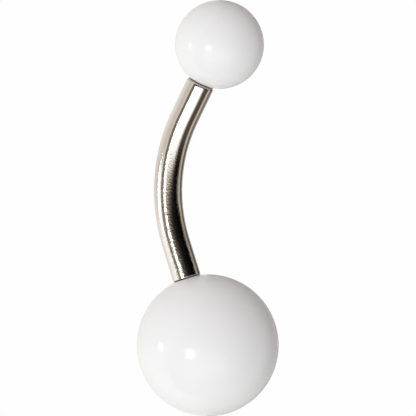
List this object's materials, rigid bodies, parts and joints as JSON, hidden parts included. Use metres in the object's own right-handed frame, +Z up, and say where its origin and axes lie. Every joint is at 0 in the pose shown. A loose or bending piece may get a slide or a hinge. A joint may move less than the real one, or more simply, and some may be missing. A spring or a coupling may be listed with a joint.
{
  "type": "navel ring",
  "caption": "Curved barbell navel ring: a bent steel bar with a small and a large white acrylic ball screwed onto its ends, lying at rest.",
  "frame": {"origin": "on the surface that the ring lies on, under the middle of its bounding box", "axes": "+Z up; +X from the small ball's centre to the large ball's centre, seen from above; the bow of the bar leans towards -Y and touches the surface"},
  "size_m": [0.0234, 0.008, 0.008],
  "materials": {
    "bar_steel": "polished, with a fine grain along the bend",
    "ball_acrylic": "opaque white, high gloss"
  },
  "bodies": {
    "bar": {"curved_bar": "bar_steel"},
    "small_ball": {"small_ball": "ball_acrylic"},
    "large_ball": {"large_ball": "ball_acrylic"}
  },
  "joints": [
    {"name": "small_ball_off", "type": "slide", "parent": "bar", "child": "small_ball", "axis": [-0.94, 0.1948, 0.2803], "range_m": [0, 0.004]},
    {"name": "large_ball_off", "type": "slide", "parent": "bar", "child": "large_ball", "axis": [0.9071, 0.1644, 0.3875], "range_m": [0, 0.004]}
  ]
}
